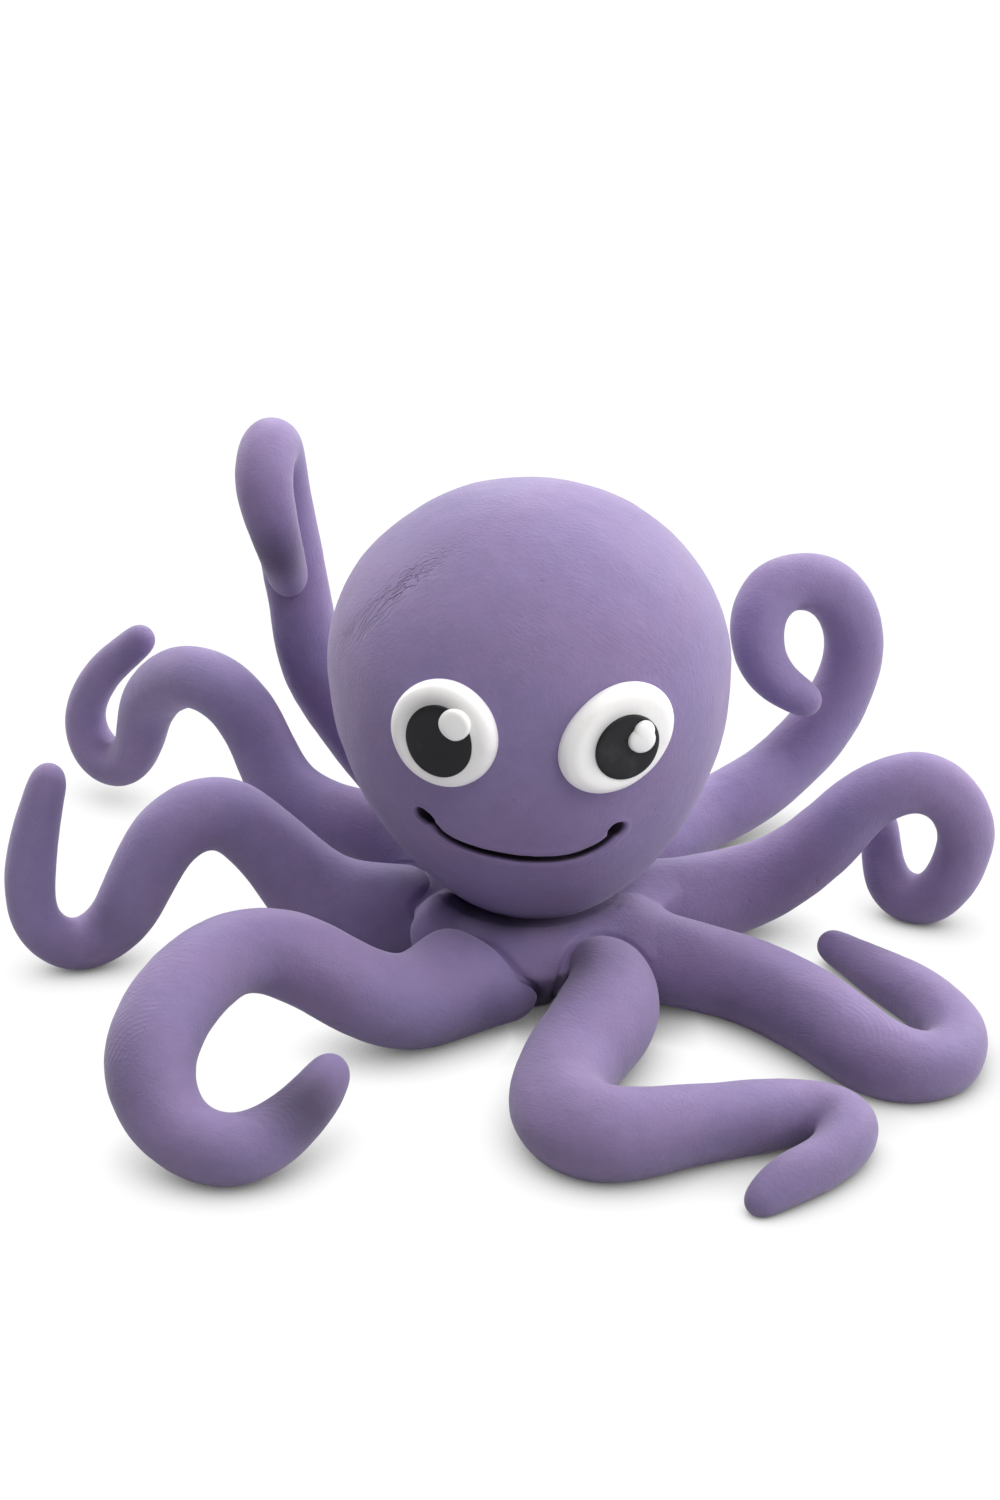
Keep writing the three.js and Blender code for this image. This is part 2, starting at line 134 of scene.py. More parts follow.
# Mesh of a grid closed along its columns. One point closes the first row and another the last: the middles of
# these rows, or the ends given. A mark is a value at each grid point that the finish reads as an attribute.
def claySurface(name, grid, marks, ends=None):
    rows, columns = grid.shape[:2]
    if ends is None:
        ends = [grid[0].mean(axis=0), grid[-1].mean(axis=0)]
    corners = np.concatenate([grid.reshape(-1, 3), ends])
    row, column = np.meshgrid(np.arange(rows - 1), np.arange(columns), indexing="ij")
    ahead = (column + 1) % columns
    quads = np.stack([row * columns + column, row * columns + ahead,
                      (row + 1) * columns + ahead, (row + 1) * columns + column], -1).reshape(-1, 4)
    spoke = np.arange(columns)
    turned = (spoke + 1) % columns
    base = (rows - 1) * columns
    fans = np.concatenate([np.stack([turned, spoke, np.full(columns, rows * columns)], -1),
                           np.stack([base + spoke, base + turned, np.full(columns, rows * columns + 1)], -1)])
    a, b, c = (corners[quads[:, k]] for k in (0, 1, 2))
    if np.sum(np.cross(a, b) * c) < 0:  # a negative volume means the faces look inward
        quads, fans = quads[:, ::-1], fans[:, ::-1]
    mesh = bpy.data.meshes.new(name)
    mesh.from_pydata(corners * mm, [], quads.tolist() + fans.tolist())
    mesh.polygons.foreach_set("use_smooth", np.ones(len(mesh.polygons), bool))
    for mark, values in marks.items():
        layer = mesh.attributes.new(mark, "FLOAT", "POINT")
        layer.data.foreach_set("value", np.concatenate([values.reshape(-1), [0, 0]]))
    mesh.update()
    piece = bpy.data.objects.new(name, mesh)
    scene.collection.objects.link(piece)
    return piece


# Puts a finished piece on its body, in place of its CAD node, with its finish.
def settle(piece, node, finish):
    piece.data.materials.append(finish)
    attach(piece, "root")
    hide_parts(node)


# A socket of a material. Sums and products of sockets add Math nodes, and node() makes any other node.
class Wire:
    def __init__(self, tree, socket=None):
        self.tree = tree
        self.socket = socket

    # a node of that kind, with its settings set first, then its sockets' values or links
    def node(self, kind, settings=None, values=None, out=0):
        made = self.tree.nodes.new(kind)
        for key, value in (settings or {}).items():
            setattr(made, key, value)
        for key, value in (values or {}).items():
            if isinstance(value, Wire):
                self.tree.links.new(value.socket, made.inputs[key])
            else:
                made.inputs[key].default_value = value
        return Wire(self.tree, made.outputs[out] if made.outputs else None)

    # one Math node
    def maths(self, operation, first, second=0.0):
        return self.node("ShaderNodeMath", {"operation": operation}, {0: first, 1: second})

    def __add__(self, other):
        return self.maths("ADD", self, other)

    def __radd__(self, other):
        return self.maths("ADD", other, self)

    def __sub__(self, other):
        return self.maths("SUBTRACT", self, other)

    def __rsub__(self, other):
        return self.maths("SUBTRACT", other, self)

    def __mul__(self, other):
        return self.maths("MULTIPLY", self, other)

    def __rmul__(self, other):
        return self.maths("MULTIPLY", other, self)

    # 0 below low, 1 above high, eased between
    def step(self, low, high):
        return self.node("ShaderNodeMapRange", {"interpolation_type": "SMOOTHSTEP"},
                         {"Value": self, "From Min": low, "From Max": high})

    # the first colour where the socket is 0, the second where it is 1
    def mix(self, first, second):
        return self.node("ShaderNodeMix", {"data_type": "RGBA"}, {0: self, 6: first, 7: second}, 2)

    # distance in metres to a point in millimetres
    def distanceTo(self, point):
        return self.node("ShaderNodeVectorMath", {"operation": "DISTANCE"},
                         {0: self, 1: tuple(np.array(point) * mm)}, "Value")

    # place on the piece, in its own Object coordinates
    def objectPlace(self):
        return self.node("ShaderNodeTexCoord", out="Object")

    # the piece's mark of that name
    def mark(self, name):
        return self.node("ShaderNodeAttribute", {"attribute_name": name}, out="Fac")


# Noise of a cell in millimetres on a vector in metres, from 0 to 1.
def speckle(vector, cell, detail=2.0, rough=0.5, distort=0.0):
    return vector.node("ShaderNodeTexNoise", {"noise_dimensions": "3D"},
                       {"Vector": vector, "Scale": 1 / (cell * mm), "Detail": detail,
                        "Roughness": rough, "Distortion": distort})


# Where a noise is high: 0 below the first of its edges, 1 above the second.
def zoned(vector, noise, edges):
    return speckle(vector, *noise).step(*edges)


# The same noise drawn out along the Z of a turned frame.
def strokes(place, turn, cell, length, detail=2.0):
    drawn = place.node("ShaderNodeMapping", {"vector_type": "TEXTURE"},
                       {"Vector": place, "Rotation": tuple(np.radians(turn)), "Scale": (1, 1, length / cell)})
    return speckle(drawn, cell, detail)


# Thin lines where a noise passes through its middle value: 1 less the eased way from it.
def hairlines(noise, width):
    off = noise - 0.5
    return 1 - off.maths("ABSOLUTE", off).step(0.0, width)


# New material with nothing in its tree.
def openFinish(name):
    finish = bpy.data.materials.new(name)
    finish.use_nodes = True
    finish.node_tree.nodes.clear()
    return finish, Wire(finish.node_tree)


# Shader with its values and wires, and a bump of a height in millimetres, led to the material's output.
def closeFinish(wire, values, height=None):
    if height is not None:
        values["Normal"] = wire.node("ShaderNodeBump", {}, {"Height": height, "Strength": 1.0, "Distance": mm})
    shader = wire.node("ShaderNodeBsdfPrincipled", {}, values)
    wire.node("ShaderNodeOutputMaterial", {}, {"Surface": shader})


# Mauve clay: two close tints drift into each other under fine grain, rubbed strokes, hair scratches and nicks.
# A noise is cell, detail, roughness and distortion, and a stroke is cell, length and detail. Edges are the noise's
# values between which a layer comes in. Heights and lengths are in millimetres. A touch is the middle of a finger
# mark, the point that its ridges ring and its reach.
mauve = {"cool": (0.228, 0.1785, 0.350, 1), "warm": (0.243, 0.179, 0.343, 1), "deep": (0.09, 0.063, 0.14, 1),
         "inside": (0.012, 0.007, 0.016, 1), "insideEdges": (0.05, 0.6), "insideShare": 0.95,
         "gloss": 0.15, "fuzz": 0.20, "roughness": 0.60, "roughSwing": 0.16,
         "drift": (11.0, 3.0, 0.55, 0.4), "driftEdges": (0.34, 0.66),
         "fleck": (1.3, 4.0, 0.6), "fleckShade": (0.22, 0.89), "grain": (0.42, 3.0, 0.62), "grainHeight": 0.042,
         "stroke": (0.22, 4.0), "strokeHeight": 0.047, "crossStroke": (0.308, 3.2), "crossHeight": 0.0329,
         "strokeZone": (9.0, 2.0), "strokeEdges": (0.40, 0.60),
         "scratch": (0.6, 6.0), "scratchWidth": 0.02, "scratchHeight": 0.018, "scratchShade": 0.12,
         "scratchZone": (5.0, 2.0), "scratchEdges": (0.5, 0.66),
         "nickGap": 2.6, "nickSize": (0.03, 0.09), "nickHeight": 0.025, "nickShade": 0.15,
         "nickZone": (6.0, 2.0), "nickEdges": (0.55, 0.65),
         "tear": (0.42, 3.0, 1.0), "tearWidth": 0.08, "tearHeight": 0.15, "tearShade": 0.42,
         "ridge": 0.50, "ridgeHeight": 0.011, "ridgeBend": (2.6, 1.0), "ridgeSway": 9.0, "ridgeCore": 0.4,
         "ridgeEdges": (0.36, 0.56), "tearTurn": (0, 32, 0), "headTurns": [(0, 128, 0), (0, 8, 0)],
         "armTurns": [(70, 0, 35), (60, 0, -50)], "skirtTurns": [(62, 0, 10), (70, 0, -60)],
         "touches": [((-31.5, -21.5, 12.6), (-29.0, -15.0, 8.0), 6.5), ((-33.5, -30.0, 10.5), (-30.0, -36.0, 9.0), 6.0),
                     ((-22.0, -35.0, 6.8), (-22.0, -40.0, 8.0), 4.5), ((10.0, -33.0, 7.2), (2.0, -30.0, 6.0), 5.0),
                     ((30.0, -20.5, 7.4), (22.0, -24.0, 6.0), 5.0)]}


# Heights of the layers are added up for the bump. Nicks, scratches and tears take the tint to a deep one, shade painted
# in those hollows, and the piece's mark takes it nearly to black, shade painted in grooves, seams and low sides.
# Finger ridges are a sine of the way to a point.
def mauveClay(name, turn, crossTurn, tearTurn=None, touches=()):
    finish, wire = openFinish(name)
    place = wire.objectPlace()
    tint = zoned(place, mauve["drift"], mauve["driftEdges"]).mix(mauve["cool"], mauve["warm"])
    fleck = speckle(place, *mauve["fleck"])
    grain = speckle(place, *mauve["grain"])
    rub = strokes(place, turn, *mauve["stroke"])
    crossRub = strokes(place, crossTurn, *mauve["crossStroke"])
    zone = zoned(place, mauve["strokeZone"], mauve["strokeEdges"])
    scratch = (hairlines(strokes(place, turn, *mauve["scratch"]), mauve["scratchWidth"])
               * zoned(place, mauve["scratchZone"], mauve["scratchEdges"]))
    seed = place.node("ShaderNodeTexVoronoi", {"feature": "F1"},
                      {"Vector": place, "Scale": 1 / (mauve["nickGap"] * mm)})
    nick = (1 - seed.step(*mauve["nickSize"])) * zoned(place, mauve["nickZone"], mauve["nickEdges"])
    height = (grain * mauve["grainHeight"] + rub * zone * mauve["strokeHeight"]
              + crossRub * (1 - zone) * mauve["crossHeight"]
              - scratch * mauve["scratchHeight"] - nick * mauve["nickHeight"])
    # painted shade in the nicks and scratches, and below in the tears
    dark = nick * mauve["nickShade"] + scratch * mauve["scratchShade"]
    if tearTurn:
        tear = hairlines(strokes(place, tearTurn, *mauve["tear"]), mauve["tearWidth"]) * wire.mark("torn")
        height = height - tear * mauve["tearHeight"]
        dark = dark + tear * mauve["tearShade"]
    for middle, ringMiddle, reach in touches:
        ring = (place.distanceTo(ringMiddle) * (2 * np.pi / (mauve["ridge"] * mm))
                + speckle(place, *mauve["ridgeBend"]) * mauve["ridgeSway"])
        near = 1 - place.distanceTo(middle).step(reach * mauve["ridgeCore"] * mm, reach * mm)
        wave = ring.maths("SINE", ring) * near * fleck.step(*mauve["ridgeEdges"])
        height = height + wave * mauve["ridgeHeight"]
    swing, least = mauve["fleckShade"]
    lit = tint.node("ShaderNodeVectorMath", {"operation": "SCALE"}, {0: tint, "Scale": fleck * swing + least})
    # painted shade, nearly black, where the piece's mark is high
    cut = wire.mark("cut").step(*mauve["insideEdges"]) * mauve["insideShare"]
    closeFinish(wire, {"Base Color": cut.mix(dark.mix(lit, mauve["deep"]), mauve["inside"]),
                       "Roughness": grain * mauve["roughSwing"] + (mauve["roughness"] - mauve["roughSwing"] / 2),
                       "Specular IOR Level": mauve["gloss"], "Sheen Weight": mauve["fuzz"]}, height)
    return finish


# White and charcoal clay: one tint with faint smudges, fine grain, shallow dents and scuffs, and painted shade where
# marked.
plain = {"cloud": (2.6, 3.0, 0.6), "cloudEdges": (0.5, 0.78), "cloudShare": 0.8, "roughSwing": (0.12, 0.04),
         "dishShade": (0.17, 0.16, 0.165, 1), "dishShadeShare": 0.5, "grain": (0.30, 3.0, 0.6),
         "dent": (1.6, 2.0), "dentHeight": 0.04, "scuff": (0.5, 3.0), "scuffTurn": (0, 40, 20), "scuffWidth": 0.03,
         "white": {"tint": (0.93, 0.92, 0.91, 1), "smudge": (0.86, 0.835, 0.825, 1),
                   "roughness": 0.44, "grainHeight": 0.008, "gloss": 0.5},
         "charcoal": {"tint": (0.015, 0.0152, 0.018, 1), "smudge": (0.036, 0.037, 0.041, 1),
                      "roughness": 0.52, "grainHeight": 0.02, "gloss": 0.26}}


# The cloud of smudges also roughens the clay and lets its scuffs show.
def plainClay(name):
    make = plain[name]
    finish, wire = openFinish(name + "Clay")
    place = wire.objectPlace()
    cloud = zoned(place, plain["cloud"], plain["cloudEdges"])
    clean = (cloud * plain["cloudShare"]).mix(make["tint"], make["smudge"])
    scuff = hairlines(strokes(place, plain["scuffTurn"], *plain["scuff"]), plain["scuffWidth"]) * cloud
    height = (speckle(place, *plain["grain"]) * make["grainHeight"]
              + speckle(place, *plain["dent"]) * plain["dentHeight"] + scuff * make["grainHeight"])
    swing, drop = plain["roughSwing"]
    # painted shade of the dish where the piece is marked
    closeFinish(wire, {"Base Color": (wire.mark("dishShade") * plain["dishShadeShare"]).mix(clean, plain["dishShade"]),
                       "Roughness": cloud * swing + (make["roughness"] - drop),
                       "Specular IOR Level": make["gloss"]}, height)
    return finish


headClay = mauveClay("mauveHead", *mauve["headTurns"], tearTurn=mauve["tearTurn"])
armClay = mauveClay("mauveArm", *mauve["armTurns"], touches=mauve["touches"])
skirtClay = mauveClay("mauveSkirt", *mauve["skirtTurns"])
whiteClay, charcoalClay = plainClay("white"), plainClay("charcoal")
print("clay finishes mixed")


# Centripetal spline through points: a cubic between each two, whose slopes weigh the gaps by their square roots.
def splinePath(points, perSpan):
    ends = np.concatenate([[2 * points[0] - points[1]], points, [2 * points[-1] - points[-2]]])
    gaps = np.sum(np.diff(ends, axis=0) ** 2, axis=1)[:, None] ** 0.25
    before, gap, after = gaps[:-2], gaps[1:-1], gaps[2:]
    p0, p1, p2, p3 = ends[:-3], ends[1:-2], ends[2:-1], ends[3:]
    leave = ((p1 - p0) / before - (p2 - p0) / (before + gap) + (p2 - p1) / gap) * gap
    reach = ((p2 - p1) / gap - (p3 - p1) / (gap + after) + (p3 - p2) / after) * gap
    return np.concatenate([cubicSpans(p1, p2, leave, reach, perSpan), points[-1:]])


# Even spline through values: slopes are half the difference of the two neighbours.
def splineValues(values, perSpan):
    ends = np.concatenate([values[:1], values, values[-1:]])[:, None]
    leave, reach = (ends[2:-1] - ends[:-3]) / 2, (ends[3:] - ends[1:-2]) / 2
    return np.concatenate([cubicSpans(ends[1:-2], ends[2:-1], leave, reach, perSpan)[:, 0], values[-1:]])


# Cubics from each a to its b, with the slopes at which they leave and reach them.
def cubicSpans(a, b, leave, reach, perSpan):
    w = np.linspace(0, 1, perSpan, endpoint=False)[None, :, None]
    a, b, leave, reach = (v[:, None, :] for v in (a, b, leave, reach))
    cubic = a + leave * w + (3 * (b - a) - 2 * leave - reach) * w ** 2 + (2 * (a - b) + leave + reach) * w ** 3
    return cubic.reshape(-1, a.shape[-1])


# Arms. A route row is across, away, lift of the underside and girth, in hundredths of the spread, and the first
# row lies inside the hub. A patch is an arm, the patch's middle and reach, how far the clay is pressed in there,
# or swells where that is negative, and how much shade is painted there, towards near black. The skirt is
# kneaded by the same noises, so that it runs into the arms.
arms = {
    "spread": 88.0, "perSpan": 40, "ringGap": 0.28, "ease": 1.3, "sides": 112, "tipRings": 12,
    "tilePress": 0.4, "tileSoftness": 0.02, "bendLimit": 0.80, "bendBlend": 0.08,
    "melt": 0.35, "meltReach": 10, "ballStep": 3, "batch": 24, "walks": 4, "stride": 0.9,
    "kneading": [(0.16, 8.0, 0.0), (0.05, 2.7, 5.3), (0.018, 0.9, 9.1)], "kneadFull": 9, "kneadTip": 0.25,
    "rootReach": 18.0, "seam": 0.34, "seamWidth": 0.5,
    "lowShade": 0.19, "lowHeights": (3.0, 7.5), "lowStart": (6.0, 14.0),
    "patches": [
        ("front_left", (-7.3, -9.2, 7.9), 2.6, -1.0, 0), ("front_centre", (3.1, -12.4, 5.1), 2.4, 0.8, 0.46),
        ("front_left", (-18.6, -34.0, 5.9), 5.6, 0, 0.44), ("front_left", (-35.0, -31.5, 7.5), 7.5, 0, 0.27),
        ("back_left", (-23.2, 17.0, 31.5), 5.2, 0.3, 0.36), ("left", (-38.0, -2.6, 4.5), 4.0, 0, 0.22),
        ("right_front", (20.5, -15.5, 4.6), 5.0, 0, 0.15)],
    "routes": {
        "front_centre": [
            [4.3, -8.2, 0.2, 6], [7, -11.6, 0.3, 9.1], [7.5, -18.8, 0.3, 10.1], [3.7, -27.4, 0, 9.3],
            [2.5, -35.7, 0, 9.2], [5.8, -39.7, 0, 9.1], [16.2, -36.6, 0.1, 7.5], [21.4, -34.9, 0, 7.1],
            [27.5, -33.1, 0, 5.8], [30.1, -36, 0, 6], [27.1, -41.5, 0.1, 5], [23.6, -44.2, 0, 5.1],
            [20.4, -47.1, 0, 3.3]],
        "front_left": [
            [-1.9, -13.2, 1.4, 5.6], [-4.2, -12.4, 0.7, 7.3], [-7.8, -12.8, -0.4, 10.5], [-11.4, -16.2, 0, 9.6],
            [-16.4, -18.4, 2.9, 8.8], [-22.5, -16.9, 6, 8.8], [-27.1, -17.7, 8, 8], [-32.9, -26.1, 8.3, 8.5],
            [-35.9, -34.7, 5, 8.7], [-33.6, -39.4, 1.5, 7.3], [-28.6, -41.5, 0.2, 7], [-24.6, -40, 1.1, 6.3],
            [-20.4, -35.1, 3.2, 5.2], [-18.8, -31.2, 4.6, 3.9]],
        "right_front": [
            [8.1, -4.1, 0.3, 8.4], [11.6, -6.5, 0.3, 8.9], [16.4, -8.2, 0, 8.8], [22.1, -11.2, 0, 8.5],
            [28.3, -18.1, 0, 8.7], [34.1, -25.3, 0, 7.5], [39.3, -25.3, 0, 6.2], [41.5, -20.3, 0, 6.3],
            [39.5, -13.4, 0, 6], [35.6, -7.3, 0, 5.3], [30.5, -0.2, 0.8, 3.3]],
        "left": [
            [-9, 1, 0.3, 9.6], [-12.5, 1.8, 0.3, 9.6], [-20, 2.5, 0.3, 10], [-26.2, 3.1, 7.7, 8],
            [-31.1, 2.7, 12.8, 7.2], [-36.1, 1.1, 11.3, 7.3], [-39.7, -0.1, 5.3, 6.7], [-42, -0.1, 1.5, 5.9],
            [-45.9, -1.5, 0, 5.2], [-49.8, -2.4, 3.7, 4.7], [-50.2, -2, 8.9, 5.1], [-49.2, -1.5, 14.4, 4.7],
            [-47.6, -1.2, 20.6, 3.7]],
        "right": [
            [8.8, 2.2, 0.7, 8.9], [14.8, 4.3, 0.5, 8.8], [20.3, 6.3, 0.3, 8.9], [25.2, 6.2, 3, 7.9],
            [29.9, 5.4, 7.6, 7.3], [34.6, 4.9, 13.7, 6.4], [40.2, 5.2, 15.3, 6.2], [44.7, 6.3, 9.4, 5.7],
            [41.3, 7.9, 0.3, 4.9], [37.4, 9.6, 0.9, 4.6], [36.2, 12.2, 8.4, 3.7]],
        "far_left": [
            [-7.3, 5.5, 3.4, 7.5], [-12, 9.5, 3.4, 7.4], [-16.4, 13.5, 4.7, 7.5], [-21, 16.2, 4.9, 7.2],
            [-25.5, 18.1, 6.6, 7.3], [-27.7, 20.4, 11, 6.5], [-30.5, 22.3, 15.7, 6.5], [-35.2, 26.2, 16.8, 6.3],
            [-40.4, 31.5, 11.7, 6], [-42.8, 33.5, 3.8, 4.8], [-46.1, 36.3, 2.1, 4.9], [-48.4, 38.2, 5.3, 4.5],
            [-46.8, 37.4, 11.6, 4], [-41.5, 35.4, 18.1, 3.3]],
        "right_back": [
            [5.3, 7.4, 1.2, 7.7], [11.4, 14.3, 1.2, 7.7], [18.5, 23.9, 0.7, 7.3], [23.1, 26.7, 1.9, 7.3],
            [27.2, 29.8, 3.8, 6.7], [30.1, 30.8, 6.3, 6.9], [33.7, 31.6, 12.3, 6.3], [34.8, 32.1, 18.7, 6.2],
            [31.8, 31.4, 24.6, 6.3], [26.5, 29.5, 26.2, 5.9], [23.8, 26.8, 23.5, 5.9], [25, 25.2, 18.3, 4.8],
            [29.8, 24.8, 15.5, 3.6]],
        "back_left": [
            [-3.1, 8.5, 1.1, 7.7], [-6.9, 15.9, 1.1, 7.7], [-15, 23.6, 6.9, 7.2], [-20.9, 27.7, 14, 8.2],
            [-23.1, 27.7, 18.9, 6.9], [-23.9, 28, 23.9, 6.9], [-24.7, 28.4, 28.8, 6.6], [-25.7, 29, 35.8, 6.2],
            [-26, 27.8, 42.6, 5.6], [-26.6, 24.4, 43.9, 5.9], [-27.1, 20.7, 41.7, 5.7], [-25.9, 20.2, 35.9, 5.5],
            [-24.9, 26.4, 28.5, 4.1]],
    },
}
armNames = list(arms["routes"])


# Centreline of an arm at even steps of its length, with the girth there, both averaged under a bell curve.
def armLine(name):
    rows = np.array(arms["routes"][name]) * arms["spread"] / 100
    points = np.column_stack([rows[:, :2], rows[:, 2] + rows[:, 3] / 2 - arms["tilePress"]])
    path, girth = splinePath(points, arms["perSpan"]), splineValues(rows[:, 3], arms["perSpan"])
    length = np.concatenate([[0], np.cumsum(np.linalg.norm(np.diff(path, axis=0), axis=1))])
    steps = np.linspace(0, length[-1], int(length[-1] / arms["ringGap"]))
    even = np.column_stack([np.interp(steps, length, values) for values in (*path.T, girth)])
    reach = int(3 * arms["ease"] / arms["ringGap"])
    weights = np.exp(-0.5 * (np.arange(-reach, reach + 1) * arms["ringGap"] / arms["ease"]) ** 2)
    padded = np.concatenate([2 * even[0] - even[reach:0:-1], even, 2 * even[-1] - even[-2:-reach - 2:-1]])
    even = np.column_stack([np.convolve(values, weights / weights.sum(), "valid") for values in padded.T])
    return even[:, :3], even[:, 3], steps


armLines = {name: armLine(name) for name in armNames}


# Head: an egg about its widest ring, with a needle-cut smile, a thumb crease and a slight lean of the chin.
# The smile's rows are bearing from the front and height from the widest ring. It is cut within the face, a middle
# height and half a height, and the cut is full within its first way from the line and gone at the second. A pit is
# two such rows, a radius and a depth. A fold of the crease is a height, the way down to its middle and a width.
head = {"width": 34.9, "rise": 15.8, "drop": 24.75, "crown": 1.07, "point": 1.27, "middle": 29.78,
        "lean": (-0.10, -0.415, 0.465), "columns": (300, 96), "bearings": (-80, 52, 280),
        "rows": (20, 130, 88), "smileBand": (-13.0, -6.6), "poleGap": 0.02,
        "kneading": [(0.11, 13.0, 2.2), (0.07, 5.0, 6.4), (0.04, 2.4, 8.1), (0.02, 1.2, 1.7)],
        "smile": [(-34.2, -8.05), (-31.8, -8.75), (-29.2, -9.7), (-24, -10.4), (-17.6, -10.85), (-11, -11.12),
                  (-4.5, -11.35), (2.1, -11.44), (8.7, -11.4), (15.4, -11.1), (21.7, -10.3), (25.3, -9.45),
                  (27, -8.85)],
        "smileSpan": 14, "smileWaver": [(0.05, 1.5, 4.0)], "face": (-9.8, 4.4), "faceCosine": 0.7,
        "cut": (0.2365, 0.4945), "cutDepth": 2.0, "lip": 0.08, "lipRing": (0.95, 0.3),
        "pits": [((-34.8, -8.0), (-33.6, -8.2), 0.80, 2.4), ((26.0, -8.95), (26.4, -8.8), 0.77, 2.4)],
        "pitEdges": (0.65, 1.12), "pitSteps": 9,
        "crease": [(-15.2, -5.3, 34.0), (-14.3, -6.2, 35.2), (-12.8, -7.0, 36.9), (-11.3, -7.1, 38.6),
                   (-10.0, -6.9, 39.8), (-8.7, -6.6, 40.8), (-7.3, -6.2, 41.7), (-6.1, -5.8, 42.4)],
        "creaseSpan": 8, "creaseEnds": (0.03, 0.97), "creasePower": 0.6, "creaseFade": 2.0,
        "folds": [(0.13, 1.1, 0.75), (-0.08, -0.25, 0.7), (-0.05, -2.0, 2.4)], "torn": (-0.5, 0.9),
        "downhill": (0.64, 0.0, -0.77)}


# Radius of the egg at a height from its widest ring: a power of an ellipse above it, and another below.
def eggRadius(height):
    ellipse = np.sqrt(np.maximum(1 - eggShare(height) ** 2, 0))
    return head["width"] / 2 * np.where(height < 0, ellipse ** head["point"], ellipse ** head["crown"])


# Height from the widest ring as a share of the egg's drop or rise.
def eggShare(height):
    return np.where(height < 0, height / head["drop"], height / head["rise"])


# Skirt: the hub's upper face slopes down from the head to a lip that waves between the arms and turns under.
# A wave is bearing, half width and how far the lip runs out. The fold is a row of balls beside the left arm.
# A finger is an arm's first stretch, which runs into the skirt unless the arm is kept apart. Shade is painted,
# towards near black, in the crease at the head's seat and low on the apron in front, under its lip.
skirt = {"seat": 8.7, "neck": 7.3, "shoulder": 8.55, "fall": (0.491, 0.871), "lip": 10.6, "lipHeight": 5.2,
         "tuck": (0.78, 0.62), "edge": 0.38, "waves": [(271, 38, 2.2), (188, 24, -0.9), (316, 26, 1.6), (80, 40, 0.6)],
         "fold": [(-7.3, -3.6, 7.9), (-8.7, -5.8, 6.3), (-8.6, -6.6, 4.6)], "foldSpan": 8, "foldRadius": 1.75,
         "foldBlend": 0.45, "apart": ("front_left", "front_centre", "left"),
         "fingerReach": 12.0, "fingerStep": 2, "fingerSink": 1.6, "fingerBlend": 1.2, "fingerSwell": (-1.6, -0.2),
         "fingerUnder": 0.08, "fingerFade": (1.0, 4.0),
         "press": 0.8, "pressWidth": 2.0, "pressHeights": (5, 7), "tileSoftness": 0.01,
         "seatShade": 0.30, "seatReach": (0.6, 1.6), "apronShade": 0.36, "apron": (1.5, 3.0), "apronHeights": (2.0, 4.6),
         "middle": (0.0, 0.0, 3.5), "columns": 440, "rows": (18, 114, 18), "climbs": (-88, -30, 45, 86),
         "walks": 22, "stride": 0.9}


# Distance to the hub: a smooth maximum of the distances to its top, its slope, its tuck and the tile.
def hubDistance(points):
    bearing = np.degrees(np.arctan2(points[..., 1], points[..., 0]))
    radius, height = np.hypot(points[..., 0], points[..., 1]), points[..., 2]
    lip = skirt["lip"]
    for middle, half, out in skirt["waves"]:
        off = np.abs((bearing - middle + 540) % 360 - 180)
        lip = lip + np.where(off < half, (1 + np.cos(np.pi * off / half)) / 2, 0) * out
    faces = np.stack(np.broadcast_arrays(
        height - skirt["seat"],
        skirt["fall"][0] * (radius - skirt["neck"]) + skirt["fall"][1] * (height - skirt["shoulder"]),
        skirt["tuck"][0] * (radius - lip) - skirt["tuck"][1] * (height - skirt["lipHeight"]), -height))
    return skirt["edge"] * np.logaddexp.reduce(faces / skirt["edge"], axis=0)


# Distance to an arm's first stretch, whose balls shrink by the sink times the cube of their share of its reach.
def fingerDistance(points, name, sink):
    path, girth, steps = armLines[name]
    near = np.arange(0, np.searchsorted(steps, skirt["fingerReach"]), skirt["fingerStep"])
    return ballsDistance(points, path[near], girth[near] / 2 - sink * (steps[near] / skirt["fingerReach"]) ** 3)


# Distance to the skirt: the hub and its fold, blended with each finger in turn, and the least of these.
def skirtDistance(points):
    fold = splinePath(np.array(skirt["fold"]), skirt["foldSpan"])
    distance = blended(hubDistance(points), ballsDistance(points, fold, skirt["foldRadius"]), skirt["foldBlend"])
    fingers = [blended(distance, fingerDistance(points, name, skirt["fingerSink"]), skirt["fingerBlend"])
               for name in armNames if name not in skirt["apart"]]
    return np.minimum.reduce(fingers)


# How far the clay is pressed in where it meets the head, a bell curve of the way to the egg that eases in above
# the lip, and that way.
def headPress(points):
    toHead = np.hypot(points[..., 0], points[..., 1]) - eggRadius(points[..., 2] - head["middle"])
    around = bell(np.maximum(toHead, 0), 0, skirt["pressWidth"])
    return skirt["press"] * around * eased(points[..., 2], *skirt["pressHeights"]), toHead


# Notch along a seam: deepest where the distance to the other piece is 0, and eased out to its width.
def seamNotch(distance):
    return arms["seam"] * (1 - eased(np.abs(distance), 0.0, arms["seamWidth"]))


